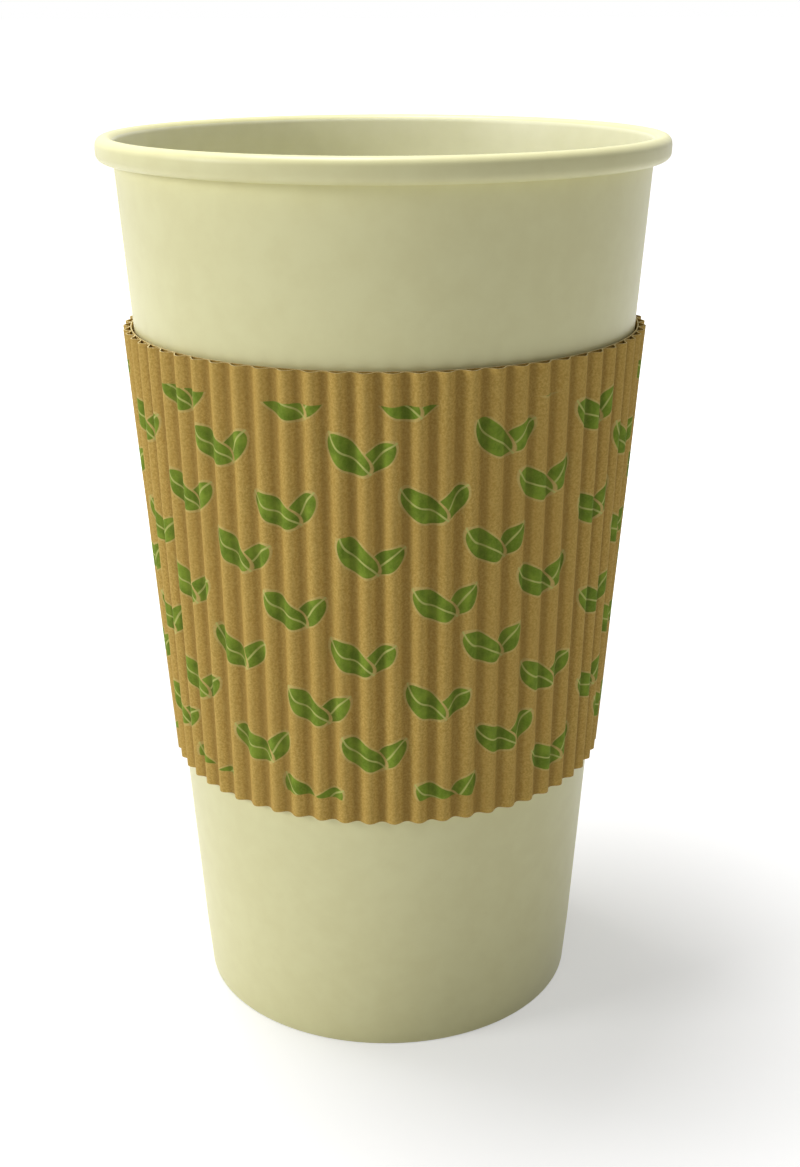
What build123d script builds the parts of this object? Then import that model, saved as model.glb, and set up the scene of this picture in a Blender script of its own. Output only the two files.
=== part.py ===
"""Takeaway paper cup in a corrugated kraft sleeve.

The cup is two glued pieces of coated paperboard: a conical wall, rolled outward into a lip at the
top and folded in at the foot, and a recessed bottom disc whose skirt is gripped in that fold.
The sleeve is single-face corrugated board: a flat liner with a fluted ply glued to its outside.
The flutes run parallel in the flat blank, so on the cone they lean more the further round they are.

Frame: millimetres, +Z up, origin on the axis in the plane that the foot stands on.
-Y is the front. The sleeve's seam is at the back, the cup's seam a quarter turn round from the front.
"""
import os
from math import asin, atan, cos, pi, sin, tan

from build123d import *

# Cup, outside
LIP_DIAMETER = 90.0
CUP_HEIGHT = 146.5
FOOT_DIAMETER = 64.9
WALL_BOARD = 0.35  # thickness of the wall's paperboard

# Rolled lip
LIP_WIDTH = 2.9
LIP_HEIGHT = 3.8
CURL_CLEARANCE = 0.05  # between the tucked turn and the wall
CURL_TUCK = 0.55  # between the end of the curl and the top of the lip

# Foot band, where wall, skirt and hem are pressed together
BAND_HEIGHT = 8.7
BAND_TAPER = 5.1  # degrees from upright
CREASE_RADIUS = 100.0
HEM_HEIGHT = 7.0
FOLD_RADIUS = 0.27

# Bottom disc and its skirt
BOTTOM_BOARD = 0.30
BOTTOM_RISE = 8.3  # middle of the disc above the plane of the foot
SKIRT_RADIUS = 0.8
SKIRT_LIFT = 0.15  # skirt edge above the inside of the fold
GLUE_GAP = 0.03

# Side seam of the wall
SEAM_LAP = 7.0
SEAM_BEARING = -105.0  # degrees round from the front
LAP_MARGIN = 0.3

# Sleeve
SLEEVE_BOTTOM = 44.0
SLEEVE_HEIGHT = 73.0
GAP_AT_BOTTOM = 0.06
GAP_AT_TOP = 0.35
LINER_BOARD = 0.22
FLUTE_BOARD = 0.20
FLUTE_PITCH = 3.83
FLUTE_DEPTH = 0.95  # from valley to crest, on one face of the ply
FLUTE_EASE = 0.38  # roundness of crest and valley, as a share of a flank's width
FLUTE_GLUE = 0.02
SLEEVE_TURN = -1.3  # degrees, sets the valley that lies nearest the front
SLEEVE_SLIT = 0.6  # between the ends of the fluted ply at the back

# Middle surface of the wall: a straight foot band, then a straight cone up to the lip
foot_mid = FOOT_DIAMETER / 2 - WALL_BOARD / 2
band_slope = tan(BAND_TAPER * pi / 180)
band_mid = foot_mid + BAND_HEIGHT * band_slope
lip_outer_mid = LIP_DIAMETER / 2 - WALL_BOARD / 2
lip_inner_mid = LIP_DIAMETER / 2 - LIP_WIDTH + WALL_BOARD / 2
lip_centre = CUP_HEIGHT - LIP_HEIGHT / 2
wall_slope = (lip_inner_mid - band_mid) / (lip_centre - BAND_HEIGHT)
seam_spread = SEAM_LAP / lip_inner_mid * 180 / pi


def wall_mid(z):
    """Radius of the wall's middle surface at height z, above the foot band."""
    return band_mid + (z - BAND_HEIGHT) * wall_slope


def band_at(z, inset):
    """Point (r, z) in the foot band, inset from the wall's middle surface."""
    return foot_mid + z * band_slope - inset, z


def folded(path, board):
    """Section of a folded board of even thickness, traced along its middle line."""
    return sum((trace(edge, board) for edge in path.edges()), Sketch())


def turned(section, arc=360):
    """Solid of revolution about Z from a section drawn with X as radius and Y as height."""
    return revolve(Plane.XZ * section, axis=Axis.Z, revolution_arc=arc)


def cup_wall():
    """One paperboard blank: hem, fold, foot band, cone and lip curl, with the side seam's lap."""
    hem_inset = WALL_BOARD + BOTTOM_BOARD + 2 * GLUE_GAP
    fold_z = WALL_BOARD / 2
    top_z = CUP_HEIGHT - WALL_BOARD / 2
    under_z = CUP_HEIGHT - LIP_HEIGHT + WALL_BOARD / 2
    tuck_z = top_z - WALL_BOARD - CURL_TUCK
    tuck_offset = WALL_BOARD + CURL_CLEARANCE
    inner_span = lip_outer_mid - wall_mid(under_z) - tuck_offset
    outer_roll = 0.47 * (lip_outer_mid - wall_mid(top_z))
    inner_roll = 0.47 * inner_span
    end_roll = inner_roll / 2
    path = FilletPolyline(
        band_at(HEM_HEIGHT, hem_inset),
        band_at(fold_z, hem_inset),
        band_at(fold_z, 0),
        (band_mid, BAND_HEIGHT),
        (wall_mid(top_z), top_z),
        (lip_outer_mid, top_z),
        (lip_outer_mid, under_z),
        (wall_mid(under_z) + tuck_offset, under_z),
        (wall_mid(tuck_z) + tuck_offset, tuck_z),
        (wall_mid(tuck_z) + tuck_offset + inner_span / 2, tuck_z),
        radius=[
            FOLD_RADIUS,
            FOLD_RADIUS,
            CREASE_RADIUS,
            outer_roll,
            outer_roll,
            outer_roll,
            inner_roll,
            end_roll,
        ],
    )
    body = turned(folded(path, WALL_BOARD))

    lap_low = BOTTOM_RISE + BOTTOM_BOARD / 2 + LAP_MARGIN
    lap_high = top_z - outer_roll - LAP_MARGIN
    lap_depth = 1.5 * WALL_BOARD
    lap = Polygon(
        (wall_mid(lap_low), lap_low),
        (wall_mid(lap_high), lap_high),
        (wall_mid(lap_high) - lap_depth, lap_high),
        (wall_mid(lap_low) - lap_depth, lap_low),
        align=None,
    )
    return body + Rot(Z=SEAM_BEARING - 90 - seam_spread / 2) * turned(lap, seam_spread)


def cup_bottom():
    """Disc with a turned-down skirt that follows the foot band between wall and hem."""
    inset = WALL_BOARD / 2 + GLUE_GAP + BOTTOM_BOARD / 2
    path = FilletPolyline(
        (0, BOTTOM_RISE),
        band_at(BOTTOM_RISE, inset),
        band_at(WALL_BOARD + SKIRT_LIFT, inset),
        radius=SKIRT_RADIUS,
    )
    return turned(folded(path, BOTTOM_BOARD))


# Sleeve cone: the liner's inner face runs from one gap off the wall to the other
sleeve_top = SLEEVE_BOTTOM + SLEEVE_HEIGHT
liner_low = wall_mid(SLEEVE_BOTTOM) + WALL_BOARD / 2 + GAP_AT_BOTTOM
liner_high = wall_mid(sleeve_top) + WALL_BOARD / 2 + GAP_AT_TOP
flute_low = liner_low + LINER_BOARD + FLUTE_GLUE
half_angle = atan((liner_high - liner_low) / SLEEVE_HEIGHT)
slant_low = flute_low / sin(half_angle)
slant_high = slant_low + SLEEVE_HEIGHT / cos(half_angle)
flank_width = FLUTE_PITCH / 2
flute_handle = FLUTE_EASE * flank_width
flute_curvature = 2 / 3 * FLUTE_DEPTH / flute_handle**2


def sleeve_liner():
    """Flat kraft ply against the cup."""
    section = Polygon(
        (liner_low, SLEEVE_BOTTOM),
        (liner_low + LINER_BOARD, SLEEVE_BOTTOM),
        (liner_high + LINER_BOARD, sleeve_top),
        (liner_high, sleeve_top),
        align=None,
    )
    return turned(section)


def fluted_point(x, slant, lift):
    """Wrap one point of the flat blank round the cone.

    x is across the flutes, slant the distance from the cone's apex, lift the height off the cone.
    """
    bearing = asin(x / slant) / sin(half_angle)
    radius = slant * sin(half_angle) + lift * cos(half_angle)
    z = SLEEVE_BOTTOM + (slant - slant_low) * cos(half_angle) - lift * sin(half_angle)
    return Vector(radius * sin(bearing), -radius * cos(bearing), z)


def bezier_through(a, b, c, d):
    """Control points of the cubic that passes four points at even steps."""
    return [a, (b * 18 - a * 5 - c * 9 + d * 2) / 6, (c * 18 - d * 5 - b * 9 + a * 2) / 6, d]


def flank_face(index, offset):
    """One flank of a flute, from valley to crest or back, as a Bezier patch.

    Across the flute its section is an S with level ends. offset sets it off along the ply's normal,
    which shortens the S's handle in the valley and lengthens it on the crest.
    """
    start = index * flank_width
    rising = index % 2 == 0
    valley_handle = flute_handle * (1 - offset * flute_curvature)
    crest_handle = flute_handle * (1 + offset * flute_curvature)
    first, last = (valley_handle, crest_handle) if rising else (crest_handle, valley_handle)
    low, high = offset, offset + FLUTE_DEPTH
    lifts = [low, low, high, high] if rising else [high, high, low, low]
    places = [start, start + first, start + flank_width - last, start + flank_width]
    slants = [slant_low + (slant_high - slant_low) * third / 3 for third in range(4)]
    columns = []
    for x, lift in zip(places, lifts):
        columns.append(bezier_through(*[fluted_point(x, slant, lift) for slant in slants]))
    return Face.make_bezier_surface(columns)


def bridged(inner, outer, place):
    """Narrow faces that join the same edge of an inner and an outer patch; place picks the edges."""
    return Face.make_surface_from_curves(place(inner), place(outer))


def sleeve_flutes():
    """Fluted kraft ply: one half is trimmed at the middle plane, then mirrored and joined."""
    reach = slant_high * sin(pi * sin(half_angle)) + flank_width
    inner = [flank_face(index, 0) for index in range(int(reach / flank_width))]
    outer = [flank_face(index, FLUTE_BOARD) for index in range(len(inner))]
    faces = inner + outer
    for below, above in zip(inner, outer):
        faces.append(bridged(below, above, lambda face: face.edges().sort_by(Axis.Z)[0]))
        faces.append(bridged(below, above, lambda face: face.edges().sort_by(Axis.Z)[-1]))
    faces.append(bridged(inner[0], outer[0], lambda face: face.edges().sort_by(Axis.X)[0]))
    faces.append(bridged(inner[-1], outer[-1], lambda face: face.edges().sort_by(Axis.X)[0]))
    sheet = Solid(Shell(faces))
    room = LIP_DIAMETER + CUP_HEIGHT
    half = sheet & Box(room, 2 * room, 2 * room, align=(Align.MIN, Align.CENTER, Align.CENTER))
    ring = half + mirror(half, about=Plane.YZ)
    slit = Box(SLEEVE_SLIT, room, 2 * room, align=(Align.CENTER, Align.MIN, Align.CENTER))
    return Rot(Z=SLEEVE_TURN) * (ring - slit)


os.makedirs("parts", exist_ok=True)
export_step(cup_wall(), "parts/cup_wall.step")
export_step(cup_bottom(), "parts/cup_bottom.step")
export_step(sleeve_liner(), "parts/sleeve_liner.step")
export_step(sleeve_flutes(), "parts/sleeve_flutes.step")
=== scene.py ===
"""Takeaway paper cup in a corrugated kraft sleeve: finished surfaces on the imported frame.

Lengths are metres, +Z up, the cup's axis on Z and its foot at z = 0. The front is -Y.
"""
import math

import bmesh
import bpy
import numpy as np
from mathutils import Matrix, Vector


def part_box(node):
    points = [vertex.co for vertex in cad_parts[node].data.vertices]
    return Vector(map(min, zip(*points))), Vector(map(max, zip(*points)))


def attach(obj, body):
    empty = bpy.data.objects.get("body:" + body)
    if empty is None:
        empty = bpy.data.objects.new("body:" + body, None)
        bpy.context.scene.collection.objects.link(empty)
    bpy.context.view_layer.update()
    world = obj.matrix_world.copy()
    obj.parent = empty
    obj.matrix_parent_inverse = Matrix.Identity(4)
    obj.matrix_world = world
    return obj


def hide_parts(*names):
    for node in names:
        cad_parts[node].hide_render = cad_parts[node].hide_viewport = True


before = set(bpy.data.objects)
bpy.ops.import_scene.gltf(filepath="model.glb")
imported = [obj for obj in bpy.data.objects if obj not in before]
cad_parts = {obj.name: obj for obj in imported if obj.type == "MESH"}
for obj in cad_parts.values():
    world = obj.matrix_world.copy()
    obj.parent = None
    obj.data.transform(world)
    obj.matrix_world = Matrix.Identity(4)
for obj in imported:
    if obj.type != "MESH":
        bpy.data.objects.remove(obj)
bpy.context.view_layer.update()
MM = 0.001

# ---- Sizes: the frame's boxes first, then the boards' own values ----
wall_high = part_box("cup_wall")[1]
bottom_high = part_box("cup_bottom")[1]
liner_low, liner_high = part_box("sleeve_liner")

LIP_RADIUS = wall_high[0]
CUP_HEIGHT = wall_high[2]
SLEEVE_BOTTOM = liner_low[2]
SLEEVE_TOP = liner_high[2]
WALL_BOARD = 0.35 * MM
BOTTOM_BOARD = 0.30 * MM
LINER_BOARD = 0.22 * MM
FLUTE_BOARD = 0.20 * MM
GLUE_GAP = 0.03 * MM

FOOT_RADIUS = 32.45 * MM
BAND_HEIGHT = 8.7 * MM
BAND_SLOPE = math.tan(math.radians(5.1))
CREASE_RADIUS = 60 * MM
HEM_HEIGHT = 7.0 * MM
FOLD_RADIUS = 0.27 * MM
LIP_WIDTH = 2.9 * MM
LIP_DEPTH = 3.8 * MM
CURL_CLEARANCE = 0.05 * MM
CURL_TUCK = 0.55 * MM
BOTTOM_RISE = bottom_high[2] - BOTTOM_BOARD / 2
SKIRT_RADIUS = 0.8 * MM
SKIRT_LIFT = 0.15 * MM
SEAM_LAP = 7.0 * MM
SEAM_BEARING = math.radians(-105)
WALL_STEP = 3.0 * MM  # length of the mesh's faces along the wall
BOTTOM_STEP = 1.5 * MM  # and along the bottom

GAP_AT_BOTTOM = 0.06 * MM
GAP_AT_TOP = 0.35 * MM
FLUTE_PITCH = 3.83 * MM
FLUTE_DEPTH = 0.95 * MM
FLUTE_GLUE = 0.02 * MM
FLUTE_COLUMNS = 20  # points across one flute
FLUTE_ROWS = 26
CREST_POWER = 1.15  # above 1 the crests are tighter than the valleys
SLEEVE_TURN = math.radians(-1.3)
SLEEVE_SLIT = 0.6 * MM

foot_mid = FOOT_RADIUS - WALL_BOARD / 2
band_mid = foot_mid + BAND_HEIGHT * BAND_SLOPE
lip_outer = LIP_RADIUS - WALL_BOARD / 2
lip_inner = LIP_RADIUS - LIP_WIDTH + WALL_BOARD / 2
wall_slope = (lip_inner - band_mid) / (CUP_HEIGHT - LIP_DEPTH / 2 - BAND_HEIGHT)


def wall_mid(z):
    """Radius of the wall's middle surface above the foot band: a straight line in z."""
    return band_mid + (z - BAND_HEIGHT) * wall_slope


def band_at(z, inset):
    """Point (radius, z) in the foot band, inset from the wall's middle surface."""
    return foot_mid + z * BAND_SLOPE - inset, z


# ---- Profiles ----
def rounded_path(corners, radii, step):
    """Points of a polyline whose inner corners are replaced by tangent arcs.

    At a corner turning by t with radius r the arc starts r*tan(t/2) before it; straight runs and
    arcs are both divided into lengths of about step.
    """
    corners = np.array(corners, float)
    runs = np.diff(corners, axis=0)
    headings = np.arctan2(runs[:, 1], runs[:, 0])
    points = [corners[:1]]
    last = corners[0]
    for corner, radius, before, after in zip(corners[1:-1], radii, headings[:-1], headings[1:]):
        turn = (after - before + math.pi) % (2 * math.pi) - math.pi
        side = math.copysign(1, turn)
        reach = radius * math.tan(abs(turn) / 2)
        start = corner - reach * np.array([math.cos(before), math.sin(before)])
        centre = start + side * radius * np.array([-math.sin(before), math.cos(before)])
        count = max(2, int(np.linalg.norm(start - last) / step))
        points.append(last + (start - last) * np.linspace(0, 1, count + 1)[1:, None])
        count = max(6, int(abs(turn) * radius / step * 3)) if radius < 5 * MM else 8
        angles = before - side * math.pi / 2 + turn * np.linspace(0, 1, count + 1)[1:]
        arc = centre + radius * np.stack([np.cos(angles), np.sin(angles)], 1)
        points.append(arc)
        last = arc[-1]
    count = max(2, int(np.linalg.norm(corners[-1] - last) / step))
    points.append(last + (corners[-1] - last) * np.linspace(0, 1, count + 1)[1:, None])
    return np.concatenate(points)


def board_outline(path, board):
    """Closed outline of a board: the path set off along its normal by half a board, each side."""
    tangent = np.gradient(path, axis=0)
    tangent /= np.linalg.norm(tangent, axis=1)[:, None]
    normal = np.stack([-tangent[:, 1], tangent[:, 0]], 1)
    return np.concatenate([path + normal * board / 2, (path - normal * board / 2)[::-1]])


def wall_path():
    """Middle line of the cup's wall: hem, fold, foot band, cone, lip and tucked curl."""
    hem_inset = WALL_BOARD + BOTTOM_BOARD + 2 * GLUE_GAP
    fold_z = WALL_BOARD / 2
    top_z = CUP_HEIGHT - WALL_BOARD / 2
    under_z = CUP_HEIGHT - LIP_DEPTH + WALL_BOARD / 2
    tuck_z = top_z - WALL_BOARD - CURL_TUCK
    tuck = WALL_BOARD + CURL_CLEARANCE
    span = lip_outer - wall_mid(under_z) - tuck
    outer_roll = 0.47 * (lip_outer - wall_mid(top_z))
    inner_roll = 0.47 * span
    corners = [
        band_at(HEM_HEIGHT, hem_inset),
        band_at(fold_z, hem_inset),
        band_at(fold_z, 0),
        (band_mid, BAND_HEIGHT),
        (wall_mid(top_z), top_z),
        (lip_outer, top_z),
        (lip_outer, under_z),
        (wall_mid(under_z) + tuck, under_z),
        (wall_mid(tuck_z) + tuck, tuck_z),
        (wall_mid(tuck_z) + tuck + span / 2, tuck_z),
    ]
    radii = [FOLD_RADIUS, FOLD_RADIUS, CREASE_RADIUS]
    radii += [outer_roll, outer_roll, outer_roll, inner_roll, inner_roll / 2]
    return rounded_path(corners, radii, WALL_STEP)


def bottom_path():
    """Middle line of the bottom: disc from the axis, then the skirt down the foot band."""
    inset = WALL_BOARD / 2 + GLUE_GAP + BOTTOM_BOARD / 2
    corners = [
        (0, BOTTOM_RISE),
        band_at(BOTTOM_RISE, inset),
        band_at(WALL_BOARD + SKIRT_LIFT, inset),
    ]
    return rounded_path(corners, [SKIRT_RADIUS], BOTTOM_STEP)


# ---- Meshes ----
def new_piece(name, points, quads, materials, sharp=40, second=None):
    """Object at the origin from an array of points and an array of quads, welded, normals outward.

    second marks the quads that take the second material.
    """
    mesh = bpy.data.meshes.new(name)
    mesh.from_pydata(points, [], quads)
    piece = bpy.data.objects.new(name, mesh)
    bpy.context.scene.collection.objects.link(piece)
    for material in materials:
        mesh.materials.append(material)
    if second is not None:
        mesh.polygons.foreach_set("material_index", second.astype(np.int32))
    weld(mesh)
    mesh.shade_smooth()
    mesh.set_sharp_from_angle(angle=math.radians(sharp))
    return piece


def weld(mesh):
    """Merges doubled points, drops faces that vanish and turns all normals outward."""
    form = bmesh.new()
    form.from_mesh(mesh)
    bmesh.ops.remove_doubles(form, verts=form.verts, dist=1e-7)
    bmesh.ops.recalc_face_normals(form, faces=form.faces)
    form.to_mesh(mesh)
    form.free()


def grid_quads(rows, columns, wrap_rows=False, wrap_columns=False):
    """Quads of a grid of points numbered row by row; a wrapped side joins its two end lines."""
    row = np.arange(rows if wrap_rows else rows - 1)[:, None]
    column = np.arange(columns if wrap_columns else columns - 1)[None, :]
    below = (row + 1) % rows
    beside = (column + 1) % columns
    here, under = row * columns, below * columns
    quads = [here + column, here + beside, under + beside, under + column]
    return np.stack(np.broadcast_arrays(*quads), -1).reshape(-1, 4)


def turned(outline, bearings):
    """Points (r sin b, -r cos b, z) for each (r, z) of the outline and each bearing b."""
    radius = outline[:, 0][:, None]
    x = radius * np.sin(bearings)
    y = -radius * np.cos(bearings)
    z = np.broadcast_to(outline[:, 1][:, None], x.shape)
    return np.stack([x, y, z], -1)


def smooth_step(value, low, high):
    """0 below low, 1 above high, easing between as 3t^2 - 2t^3."""
    t = np.clip((value - low) / (high - low), 0, 1)
    return t * t * (3 - 2 * t)


def cup_wall(board, lining):
    """Wall: the board outline turned about the axis, with the side seam's step worked into it.

    In the lap the inner face steps in by a board, and eases back past its end. There the outer face
    dips in by half a board and eases back too, where the blank's edge lies on the layer under it.
    """
    lap = SEAM_LAP / lip_inner
    half = 0.5 * lap
    edge = 0.003 * lap
    even = np.linspace(0, 2 * math.pi, 256, endpoint=False)
    fine = SEAM_BEARING + np.array([-half, edge - half, half, half + edge, half + 0.02 * lap])
    bearings = np.unique(np.concatenate([even, fine % (2 * math.pi)]))
    path = wall_path()
    outline = board_outline(path, WALL_BOARD)
    points = turned(outline, bearings)
    from_seam = (bearings - SEAM_BEARING + math.pi) % (2 * math.pi) - math.pi
    in_lap = smooth_step(from_seam, -half, edge - half)
    in_lap *= 1 - smooth_step(from_seam, half, half + 0.4 * lap)
    past_end = 1 - smooth_step(from_seam, half + edge, half + 0.6 * lap)
    past_end *= from_seam > half + edge / 2
    z = outline[:, 1]
    upper = smooth_step(z, BOTTOM_RISE + 1 * MM, BOTTOM_RISE + 3 * MM)
    upper *= 1 - smooth_step(z, CUP_HEIGHT - LIP_DEPTH - 3 * MM, CUP_HEIGHT - LIP_DEPTH)
    is_inner = np.arange(len(outline)) < len(path)
    inner = (upper * is_inner)[:, None]
    outer = (upper * ~is_inner)[:, None]
    shift = -WALL_BOARD * (inner * in_lap + outer * past_end / 2)
    points[..., 0] += shift * np.sin(bearings)
    points[..., 1] -= shift * np.cos(bearings)
    quads = grid_quads(len(outline), len(bearings), wrap_rows=True, wrap_columns=True)
    row = quads[:, 0] // len(bearings)
    inside = is_inner[row] & (z[row] > BAND_HEIGHT) & (outline[row, 0] < lip_inner)
    return new_piece("paper_wall", points.reshape(-1, 3), quads, [board, lining], second=inside)


def cup_bottom(material):
    """Bottom: its board outline turned about the axis; the two ends on the axis close as poles."""
    outline = board_outline(bottom_path(), BOTTOM_BOARD)
    outline[[0, -1], 0] = 0
    bearings = np.linspace(0, 2 * math.pi, 180, endpoint=False)
    points = turned(outline, bearings)
    quads = grid_quads(len(outline), len(bearings), wrap_columns=True)
    return new_piece("paper_bottom", points.reshape(-1, 3), quads, [material])


# ---- Sleeve ----
inner_low = wall_mid(SLEEVE_BOTTOM) + WALL_BOARD / 2 + GAP_AT_BOTTOM
inner_high = wall_mid(SLEEVE_TOP) + WALL_BOARD / 2 + GAP_AT_TOP
half_angle = math.atan((inner_high - inner_low) / (SLEEVE_TOP - SLEEVE_BOTTOM))
slant_low = (inner_low + LINER_BOARD + FLUTE_GLUE) / math.sin(half_angle)
slant_high = slant_low + (SLEEVE_TOP - SLEEVE_BOTTOM) / math.cos(half_angle)


def sleeve_liner(kraft, cut_edge):
    """Liner: a straight strip of board leaning with the cone, turned about the axis."""
    heights = np.linspace(SLEEVE_BOTTOM, SLEEVE_TOP, 24)
    radii = np.linspace(inner_low, inner_high, 24)
    inside = np.stack([radii, heights], 1)
    outline = np.concatenate([inside, (inside + [LINER_BOARD, 0])[::-1]])
    bearings = np.linspace(0, 2 * math.pi, 256, endpoint=False)
    quads = grid_quads(len(outline), len(bearings), wrap_rows=True, wrap_columns=True)
    points = turned(outline, bearings).reshape(-1, 3)
    piece = new_piece("kraft_liner", points, quads, [kraft, cut_edge])
    mark_cut_edges(piece.data)
    return piece


def mark_cut_edges(mesh):
    """Faces that look straight up or down are the board's cut edges, in the second material."""
    normals = np.empty(len(mesh.polygons) * 3)
    mesh.polygons.foreach_get("normal", normals)
    level = np.abs(normals.reshape(-1, 3)[:, 2]) > 0.8
    mesh.polygons.foreach_set("material_index", level.astype(np.int32))


def flute_wave(across):
    """Height and slope of the flutes: their depth times ((1 - cos) / 2) to CREST_POWER."""
    phase = 2 * math.pi * across / FLUTE_PITCH
    base = (1 - np.cos(phase)) / 2
    height = FLUTE_DEPTH * base**CREST_POWER
    steepness = CREST_POWER * np.maximum(base, 1e-9) ** (CREST_POWER - 1)
    slope = FLUTE_DEPTH * steepness * np.sin(phase) * math.pi / FLUTE_PITCH
    return height, slope


def unevenness(across, slant, seed):
    """Slow unit-size waviness over the blank: the mean of six seeded plane waves."""
    waves = 6
    numbers = np.random.default_rng(seed)
    total = np.zeros(np.broadcast(across, slant).shape)
    for _ in range(waves):
        along = numbers.uniform(-90, 90) * math.pi / 2
        up = numbers.uniform(-120, 120) * math.pi / 2
        start = numbers.uniform(0, 2 * math.pi)
        total += np.sin(across * along + slant * up + start)
    return total / waves


def wrap_blank(x, slant, lift):
    """Flat blank onto the cone: bearing asin(x / slant) / sin(half angle), then cone by slant."""
    bearing = np.arcsin(x / slant) / math.sin(half_angle)
    radius = slant * math.sin(half_angle) + lift * math.cos(half_angle)
    z = SLEEVE_BOTTOM + (slant - slant_low) * math.cos(half_angle) - lift * math.sin(half_angle)
    return np.stack([radius * np.sin(bearing), -radius * np.cos(bearing), z], -1)


def flute_side(across, slants, offset):
    """One face of half the fluted ply, set off along its normal, and its places on the flat blank."""
    slant = slants[:, None]
    height, slope = flute_wave(across[None, :])
    length = np.sqrt(1 + slope**2)
    swell = 1 + 0.05 * unevenness(across[None, :], slant, 3)
    drift = 0.10 * MM * unevenness(across[None, :], slant, 5)
    drift *= smooth_step(across[None, :], 0, 4 * MM)
    x = across[None, :] - offset * slope / length + drift
    lift = height * np.minimum(swell, 1) + offset / length
    flat = np.stack(np.broadcast_arrays(x, np.sqrt(slant**2 - x**2)), -1)
    return wrap_blank(x, slant, lift), flat


def sleeve_flutes(kraft, cut_edge):
    """Fluted ply: both faces of half the blank, trimmed at the seam, mirrored and welded in front.

    The UV map holds the flat blank in millimetres, measured from the apex of its cone.
    """
    reach = slant_high * math.sin(math.pi * math.sin(half_angle)) + FLUTE_PITCH
    across = np.arange(int(reach / FLUTE_PITCH * FLUTE_COLUMNS)) * FLUTE_PITCH / FLUTE_COLUMNS
    slants = np.linspace(slant_low, slant_high, FLUTE_ROWS)
    outside, outside_flat = flute_side(across, slants, FLUTE_BOARD)
    inside, inside_flat = flute_side(across, slants, 0)
    points = np.concatenate([outside, inside[::-1]])
    flat = np.concatenate([outside_flat, inside_flat[::-1]])
    rows, columns = points.shape[:2]
    quads = grid_quads(rows, columns, wrap_rows=True)
    row = quads[:, 0] // columns
    edge_rows = (row == FLUTE_ROWS - 1) | (row == rows - 1)
    mesh = bpy.data.meshes.new("kraft_flutes")
    mesh.from_pydata(points.reshape(-1, 3), [], quads)
    mesh.polygons.foreach_set("material_index", edge_rows.astype(np.int32))
    mesh.uv_layers.new(name="blank")
    corners = np.empty(len(mesh.loops), np.int32)
    mesh.loops.foreach_get("vertex_index", corners)
    mesh.uv_layers["blank"].data.foreach_set("uv", (flat.reshape(-1, 2)[corners] / MM).ravel())
    form = bmesh.new()
    form.from_mesh(mesh)
    trim_at_seam(form)
    mirror_half(form)
    bmesh.ops.recalc_face_normals(form, faces=form.faces)
    bmesh.ops.rotate(form, verts=form.verts, matrix=Matrix.Rotation(SLEEVE_TURN, 3, "Z"))
    form.to_mesh(mesh)
    form.free()
    mesh.materials.append(kraft)
    mesh.materials.append(cut_edge)
    mesh.shade_smooth()
    mesh.set_sharp_from_angle(angle=math.radians(45))
    piece = bpy.data.objects.new("kraft_flutes", mesh)
    bpy.context.scene.collection.objects.link(piece)
    return piece


def trim_at_seam(form):
    """Cuts the half blank at the back, half a slit short of the middle plane, and caps the cut."""
    short = SLEEVE_SLIT / 2 / inner_high
    normal = (-math.cos(short), math.sin(short), 0)
    everything = form.verts[:] + form.edges[:] + form.faces[:]
    cut = bmesh.ops.bisect_plane(
        form, geom=everything, plane_co=(0, 0, 0), plane_no=normal, clear_outer=True, dist=1e-8
    )
    edges = [item for item in cut["geom_cut"] if isinstance(item, bmesh.types.BMEdge)]
    rim = [edge for edge in edges if edge.is_boundary]
    filled = bmesh.ops.triangle_fill(form, edges=rim, use_beauty=True)
    for item in filled["geom"]:
        if isinstance(item, bmesh.types.BMFace):
            item.material_index = 1


def mirror_half(form):
    """Adds the other half across x = 0, with its UVs turned over, and welds the two in front."""
    layer = form.loops.layers.uv["blank"]
    twin = bmesh.ops.duplicate(form, geom=form.verts[:] + form.edges[:] + form.faces[:])
    faces = [item for item in twin["geom"] if isinstance(item, bmesh.types.BMFace)]
    for item in twin["geom"]:
        if isinstance(item, bmesh.types.BMVert):
            item.co.x = -item.co.x
    bmesh.ops.reverse_faces(form, faces=faces)
    for face in faces:
        for loop in face.loops:
            loop[layer].uv.x = -loop[layer].uv.x
    bmesh.ops.remove_doubles(form, verts=form.verts, dist=1e-7)


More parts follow.
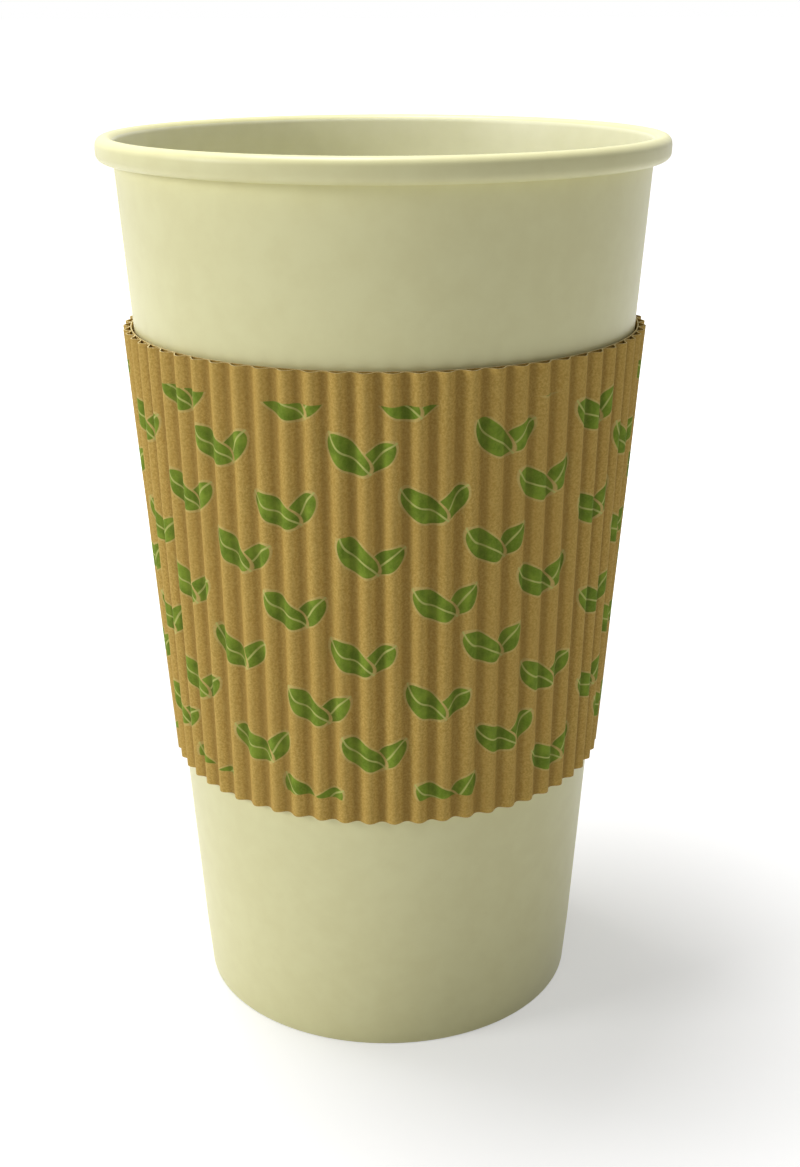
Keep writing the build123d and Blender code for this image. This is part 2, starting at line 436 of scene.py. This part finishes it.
# ---- Shader helpers ----
class Recipe:
    """Short names for a material's nodes, so that a pattern reads as a list of sums."""

    def __init__(self, name):
        self.material = bpy.data.materials.new(name)
        self.material.use_nodes = True
        self.tree = self.material.node_tree
        self.shader = self.tree.nodes["Principled BSDF"]

    def node(self, kind, **inputs):
        made = self.tree.nodes.new(kind)
        for key, value in inputs.items():
            self.feed(made.inputs[key.replace("_", " ")], value)
        return made

    def feed(self, socket, value):
        if isinstance(value, bpy.types.NodeSocket):
            self.tree.links.new(value, socket)
        else:
            socket.default_value = value

    def sum(self, operation, *values):
        made = self.tree.nodes.new("ShaderNodeMath")
        made.operation = operation
        for socket, value in zip(made.inputs, values):
            self.feed(socket, value)
        return made.outputs[0]

    def ramp(self, value, low, high, start=0.0, end=1.0):
        made = self.tree.nodes.new("ShaderNodeMapRange")
        made.interpolation_type = "SMOOTHSTEP"
        for socket, given in zip(made.inputs, (value, low, high, start, end)):
            self.feed(socket, given)
        return made.outputs[0]

    def noise(self, vector, scale, detail=3.0, roughness=0.55):
        made = self.node("ShaderNodeTexNoise", Vector=vector, Scale=scale, Detail=detail)
        made.inputs["Roughness"].default_value = roughness
        return made.outputs[0]

    def blend(self, share, first, second, mode="MIX"):
        made = self.tree.nodes.new("ShaderNodeMix")
        made.data_type = "RGBA"
        made.blend_type = mode
        self.feed(made.inputs["Factor"], share)
        self.feed(made.inputs["A"], first)
        self.feed(made.inputs["B"], second)
        return made.outputs["Result"]

    def object_place(self, scale=(1, 1, 1)):
        place = self.tree.nodes.new("ShaderNodeTexCoord")
        mapping = self.node("ShaderNodeMapping", Vector=place.outputs["Object"], Scale=scale)
        return mapping.outputs[0]

    def relief(self, height, distance, strength=1.0):
        bump = self.node("ShaderNodeBump", Height=height, Distance=distance, Strength=strength)
        self.tree.links.new(bump.outputs[0], self.shader.inputs["Normal"])


def colour(red, green, blue):
    """Linear colour from screen values 0 to 255."""
    values = np.array([red, green, blue]) / 255
    linear = np.where(values <= 0.04045, values / 12.92, ((values + 0.055) / 1.055) ** 2.4)
    return (*linear, 1.0)


# ---- Materials ----
def paperboard(name, deep, light):
    """Coated cream board: faint mottling, very fine fibre, a soft satin sheen."""
    board = Recipe(name)
    place = board.object_place()
    mottle = board.sum("MULTIPLY", board.noise(place, 260.0, 4.0), 0.6)
    cloud = board.sum("MULTIPLY", board.noise(place, 45.0, 2.0), 0.4)
    tone = board.ramp(board.sum("ADD", mottle, cloud), 0.35, 0.65)
    board.feed(board.shader.inputs["Base Color"], board.blend(tone, deep, light))
    board.shader.inputs["Roughness"].default_value = 0.42
    board.shader.inputs["Specular IOR Level"].default_value = 0.5
    board.shader.inputs["Sheen Weight"].default_value = 0.05
    board.relief(board.noise(place, 1500.0, 4.0), 0.00003, 0.35)
    return board.material


def kraft_tone(recipe):
    """Unbleached brown: fine speckle over slow clouds, with short darker fibres lying level."""
    place = recipe.object_place()
    speckle = recipe.noise(place, 2900.0, 5.0, 0.65)
    cloud = recipe.noise(place, 120.0, 3.0)
    fibre = recipe.noise(recipe.object_place((900, 900, 4200)), 1.0, 3.0, 0.6)
    shade = recipe.ramp(speckle, 0.34, 0.66)
    tone = recipe.blend(shade, colour(190, 154, 74), colour(217, 184, 101))
    tone = recipe.blend(recipe.ramp(cloud, 0.3, 0.7, 0.0, 0.35), tone, colour(198, 162, 84))
    tone = recipe.blend(recipe.ramp(fibre, 0.6, 0.75, 0.0, 0.30), tone, colour(158, 122, 56))
    return tone, speckle


def plain_kraft():
    """Kraft of the liner."""
    kraft = Recipe("plain_kraft")
    tone, speckle = kraft_tone(kraft)
    kraft.feed(kraft.shader.inputs["Base Color"], tone)
    kraft.shader.inputs["Roughness"].default_value = 0.85
    kraft.shader.inputs["Specular IOR Level"].default_value = 0.2
    kraft.relief(speckle, 0.00004, 0.4)
    return kraft.material


def cut_kraft():
    """Freshly cut edge of kraft board: paler and fuzzier than its face."""
    kraft = Recipe("cut_kraft_edge")
    fuzz = kraft.ramp(kraft.noise(kraft.object_place(), 2500.0, 3.0), 0.35, 0.65)
    tone = kraft.blend(fuzz, colour(214, 190, 132), colour(244, 228, 180))
    kraft.feed(kraft.shader.inputs["Base Color"], tone)
    kraft.shader.inputs["Roughness"].default_value = 0.9
    return kraft.material


BEAN_PITCH = 20.0  # mm between pairs along a row
BEAN_ROW = 8.1  # mm between rows
ROW_TILT = math.radians(3.4)
PRINT_LOW = 4.0  # mm left bare along the sleeve's bottom edge
PRINT_HIGH = 4.8  # and along its top edge
PRINT_EDGE = 0.15  # softness of those two cuts
BEAN_WANDER = (4.0, 0.9)  # mm that a pair's place may vary, across and up
BEAN_TURN = 0.35  # radians that its turn may vary


def turned_axes(recipe, x, y, cosine, sine):
    """x and y measured in axes turned by the angle of that cosine and sine."""
    x_cosine, x_sine = recipe.sum("MULTIPLY", x, cosine), recipe.sum("MULTIPLY", x, sine)
    y_cosine, y_sine = recipe.sum("MULTIPLY", y, cosine), recipe.sum("MULTIPLY", y, sine)
    return recipe.sum("ADD", x_cosine, y_sine), recipe.sum("SUBTRACT", y_cosine, x_sine)


def length_of(recipe, x, y):
    """Square root of x^2 + y^2."""
    squares = recipe.sum("ADD", recipe.sum("MULTIPLY", x, x), recipe.sum("MULTIPLY", y, y))
    return recipe.sum("SQRT", squares)


def blank_place(recipe):
    """Place on the flat blank: across from its middle flute and out from its cone's apex, in mm."""
    flat = recipe.tree.nodes.new("ShaderNodeUVMap")
    flat.uv_map = "blank"
    split = recipe.node("ShaderNodeSeparateXYZ", Vector=flat.outputs[0])
    return split.outputs[0], split.outputs[1]


def bean(recipe, x, y, centre, lean, long, wide):
    """Masks of one bean: its body, its pale outline and its crease.

    In the bean's own axes (p along, q across, bowed by q - 0.03 p^2) the body is where
    (p/long)^2 + (q/wide)^2 < 1, and the crease follows q = 0.18 wide sin(pi p / long).
    """
    x = recipe.sum("SUBTRACT", x, centre[0])
    y = recipe.sum("SUBTRACT", y, centre[1])
    p, q = turned_axes(recipe, x, y, math.cos(lean), math.sin(lean))
    bowed = recipe.sum("MULTIPLY_ADD", recipe.sum("MULTIPLY", p, p), -0.03, q)
    along = recipe.sum("DIVIDE", p, long)
    field = length_of(recipe, along, recipe.sum("DIVIDE", bowed, wide))
    body = recipe.ramp(field, 0.90, 0.94, 1.0, 0.0)
    outline = recipe.ramp(field, 1.02, 1.08, 1.0, 0.0)
    wave = recipe.sum("SINE", recipe.sum("MULTIPLY", along, math.pi))
    curve = recipe.sum("MULTIPLY", wave, 0.18 * wide)
    off_crease = recipe.sum("ABSOLUTE", recipe.sum("SUBTRACT", bowed, curve))
    crease = recipe.sum("MULTIPLY", recipe.ramp(off_crease, 0.08, 0.20, 1.0, 0.0), outline)
    return body, outline, crease


def bean_pairs(recipe):
    """Masks of the printed pairs: ink, crease and pale outline.

    Rows on the flat blank are staggered by half a pitch, each pair a little turned and moved.
    """
    u, v = blank_place(recipe)
    raised = recipe.sum("SUBTRACT", v, slant_low / MM)
    x, y = turned_axes(recipe, u, raised, math.cos(ROW_TILT), math.sin(ROW_TILT))
    row = recipe.sum("FLOOR", recipe.sum("DIVIDE", y, BEAN_ROW))
    stagger = recipe.sum("MULTIPLY", recipe.sum("FLOORED_MODULO", row, 2.0), BEAN_PITCH / 2)
    x = recipe.sum("ADD", x, stagger)
    column = recipe.sum("FLOOR", recipe.sum("DIVIDE", x, BEAN_PITCH))
    across, up, turn = cell_chances(recipe, column, row)
    x = from_cell(recipe, x, column, BEAN_PITCH, recipe.sum("MULTIPLY", across, BEAN_WANDER[0]))
    y = from_cell(recipe, y, row, BEAN_ROW, recipe.sum("MULTIPLY", up, BEAN_WANDER[1]))
    turn = recipe.sum("MULTIPLY", turn, BEAN_TURN)
    x, y = turned_axes(recipe, x, y, recipe.sum("COSINE", turn), recipe.sum("SINE", turn))
    left = bean(recipe, x, y, (-1.8, 0.1), math.radians(-43), 4.2, 2.15)
    right = bean(recipe, x, y, (2.5, -0.1), math.radians(38), 3.6, 1.8)
    over_left = recipe.sum("SUBTRACT", 1.0, left[1])
    ink = recipe.sum("MAXIMUM", left[0], recipe.sum("MULTIPLY", right[0], over_left))
    crease = recipe.sum("MAXIMUM", left[2], recipe.sum("MULTIPLY", right[2], over_left))
    pale = recipe.sum("MAXIMUM", left[1], right[1])
    slant = length_of(recipe, u, v)
    low = slant_low / MM + PRINT_LOW
    high = slant_high / MM - PRINT_HIGH
    above = recipe.ramp(slant, low, low + PRINT_EDGE)
    below = recipe.ramp(slant, high - PRINT_EDGE, high, 1.0, 0.0)
    inside = recipe.sum("MULTIPLY", above, below)
    return [recipe.sum("MULTIPLY", mask, inside) for mask in (ink, crease, pale)]


def cell_chances(recipe, column, row):
    """Three random values per cell, each from -0.5 to 0.5."""
    cell = recipe.node("ShaderNodeCombineXYZ", X=column, Y=row)
    chance = recipe.tree.nodes.new("ShaderNodeTexWhiteNoise")
    recipe.tree.links.new(cell.outputs[0], chance.inputs["Vector"])
    draws = recipe.node("ShaderNodeSeparateColor", Color=chance.outputs["Color"])
    return [recipe.sum("SUBTRACT", draw, 0.5) for draw in draws.outputs]


def from_cell(recipe, value, index, size, offset):
    """Distance from the middle of the cell of that index and size, moved by offset."""
    middle = recipe.sum("MULTIPLY", recipe.sum("ADD", index, 0.5), size)
    return recipe.sum("SUBTRACT", recipe.sum("SUBTRACT", value, middle), offset)


def printed_kraft():
    """Fluted ply: kraft with painted shade darkening the flute valleys, and leaf-green bean pairs
    printed on it.
    """
    kraft = Recipe("printed_kraft")
    tone, speckle = kraft_tone(kraft)
    ink, crease, pale = bean_pairs(kraft)
    across = blank_place(kraft)[0]
    phase = kraft.sum("MULTIPLY", across, 2 * math.pi / (FLUTE_PITCH / MM))
    # Painted shade: a darker tone along each flute valley, strongest at its bottom.
    painted_valley_shade = kraft.ramp(kraft.sum("COSINE", phase), -0.2, 1.0, 0.0, 0.42)
    wash = kraft.ramp(kraft.noise(kraft.object_place(), 420.0, 4.0), 0.35, 0.7)
    green = kraft.blend(wash, colour(98, 130, 22), colour(134, 163, 46))
    green = kraft.blend(kraft.ramp(speckle, 0.3, 0.7, 0.0, 0.25), green, colour(160, 170, 76))
    tone = kraft.blend(kraft.sum("MULTIPLY", pale, 0.35), tone, colour(226, 214, 140))
    tone = kraft.blend(kraft.sum("MULTIPLY", ink, 0.96), tone, green)
    tone = kraft.blend(kraft.sum("MULTIPLY", crease, 0.85), tone, colour(206, 208, 122))
    # Multiplies the painted valley shade into the colour.
    tone = kraft.blend(painted_valley_shade, tone, colour(128, 104, 60), "MULTIPLY")
    kraft.feed(kraft.shader.inputs["Base Color"], tone)
    kraft.shader.inputs["Roughness"].default_value = 0.8
    kraft.shader.inputs["Specular IOR Level"].default_value = 0.2
    kraft.relief(speckle, 0.00005, 0.45)
    return kraft.material


# ---- Studio ----
GLOW_START = 0.10  # distance from the axis at which the floor's glow starts to grow
GLOW_END = 0.32
GLOW_NEAR = 0.42


def placed(name, data, place, axes):
    """Camera or lamp at place, with its own x, y and z along the three axes."""
    matrix = np.identity(4)
    matrix[:3, :3] = np.transpose(axes)
    matrix[:3, 3] = place
    holder = bpy.data.objects.new(name, data)
    holder.matrix_world = Matrix(matrix)
    bpy.context.scene.collection.objects.link(holder)
    return holder


def camera():
    """Camera in front of the cup and above its lip, looking down."""
    place = np.array([0.0, -265.8, 165.4]) * MM
    pitch, yaw, roll = 0.3413, 0.009, -0.0023
    ahead = math.cos(pitch)
    forward = np.array([math.sin(yaw) * ahead, math.cos(yaw) * ahead, -math.sin(pitch)])
    right = np.array([math.cos(yaw), -math.sin(yaw), 0.0])
    up = np.cross(right, forward)
    level = math.cos(roll) * right + math.sin(roll) * up
    upright = -math.sin(roll) * right + math.cos(roll) * up
    data = bpy.data.cameras.new("camera")
    data.sensor_fit = "VERTICAL"
    data.sensor_height = 36
    data.lens = 50.3
    data.clip_start = 0.01
    bpy.context.scene.camera = placed("camera", data, place, (level, upright, -forward))


def lamp(name, place, target, size, power):
    """Square area lamp at place, facing target."""
    data = bpy.data.lights.new(name, "AREA")
    data.shape = "SQUARE"
    data.size = size
    data.energy = power
    away = np.array(place) - np.array(target)
    away /= np.linalg.norm(away)
    side = np.cross([0, 0, 1], away)
    side /= np.linalg.norm(side)
    placed(name, data, place, (side, np.cross(away, side), away))


def seen_share(tree):
    """1 for rays that show the background: from the camera, in a reflection or through glass."""
    path = tree.nodes.new("ShaderNodeLightPath")
    total = path.outputs["Is Camera Ray"]
    for name in ("Is Glossy Ray", "Is Transmission Ray"):
        either = tree.nodes.new("ShaderNodeMath")
        either.operation = "MAXIMUM"
        tree.links.new(total, either.inputs[0])
        tree.links.new(path.outputs[name], either.inputs[1])
        total = either.outputs[0]
    return total


def surroundings(light):
    """World: plain soft light on the object, plain white where it is seen."""
    world = bpy.data.worlds.new("studio")
    bpy.context.scene.world = world
    world.use_nodes = True
    tree = world.node_tree
    strength = tree.nodes.new("ShaderNodeMapRange")
    tree.links.new(seen_share(tree), strength.inputs[0])
    strength.inputs[3].default_value = light
    strength.inputs[4].default_value = 1.0
    tree.nodes["Background"].inputs["Color"].default_value = (1, 1, 1, 1)
    tree.links.new(strength.outputs[0], tree.nodes["Background"].inputs["Strength"])


def floor():
    """Wide pale floor that keeps the shadow; its own glow grows with distance up to white."""
    half_size = 20.0
    corners = [(x * half_size, y * half_size, 0) for x, y in ((-1, -1), (1, -1), (1, 1), (-1, 1))]
    mesh = bpy.data.meshes.new("floor")
    mesh.from_pydata(corners, [], [(0, 1, 2, 3)])
    piece = bpy.data.objects.new("floor", mesh)
    bpy.context.scene.collection.objects.link(piece)
    pale = Recipe("pale_floor")
    pale.shader.inputs["Base Color"].default_value = (0.72, 0.72, 0.72, 1)
    pale.shader.inputs["Roughness"].default_value = 0.9
    pale.shader.inputs["Specular IOR Level"].default_value = 0.0
    pale.shader.inputs["Emission Color"].default_value = (1, 1, 1, 1)
    place = pale.tree.nodes.new("ShaderNodeTexCoord")
    reach = pale.tree.nodes.new("ShaderNodeVectorMath")
    reach.operation = "LENGTH"
    pale.tree.links.new(place.outputs["Object"], reach.inputs[0])
    glow = pale.ramp(reach.outputs["Value"], GLOW_START, GLOW_END, GLOW_NEAR, 1.0)
    glow = pale.sum("MULTIPLY", seen_share(pale.tree), glow)
    pale.feed(pale.shader.inputs["Emission Strength"], glow)
    mesh.materials.append(pale.material)


scene = bpy.context.scene
scene.view_settings.view_transform = "Standard"
camera()
surroundings(light=0.22)
lamp("key", place=(-0.77, -0.28, 0.42), target=(0, 0, 0.08), size=0.28, power=2.65)
lamp("top", place=(-0.15, 0.10, 0.95), target=(0, 0, 0.1), size=0.35, power=7.2)
floor()

board = paperboard("cream_paperboard", colour(237, 232, 176), colour(241, 237, 182))
lining = paperboard("pale_lining", colour(240, 238, 202), colour(244, 242, 208))
cut = cut_kraft()
wall = cup_wall(board, lining)
bottom = cup_bottom(lining)
liner = sleeve_liner(plain_kraft(), cut)
flutes = sleeve_flutes(printed_kraft(), cut)
for piece, node, slot in (
    (wall, "cup_wall", "cup_board"),
    (bottom, "cup_bottom", "cup_board"),
    (liner, "sleeve_liner", "liner_kraft"),
    (flutes, "sleeve_flutes", "fluted_kraft"),
):
    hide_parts(node)
    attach(piece, "root")
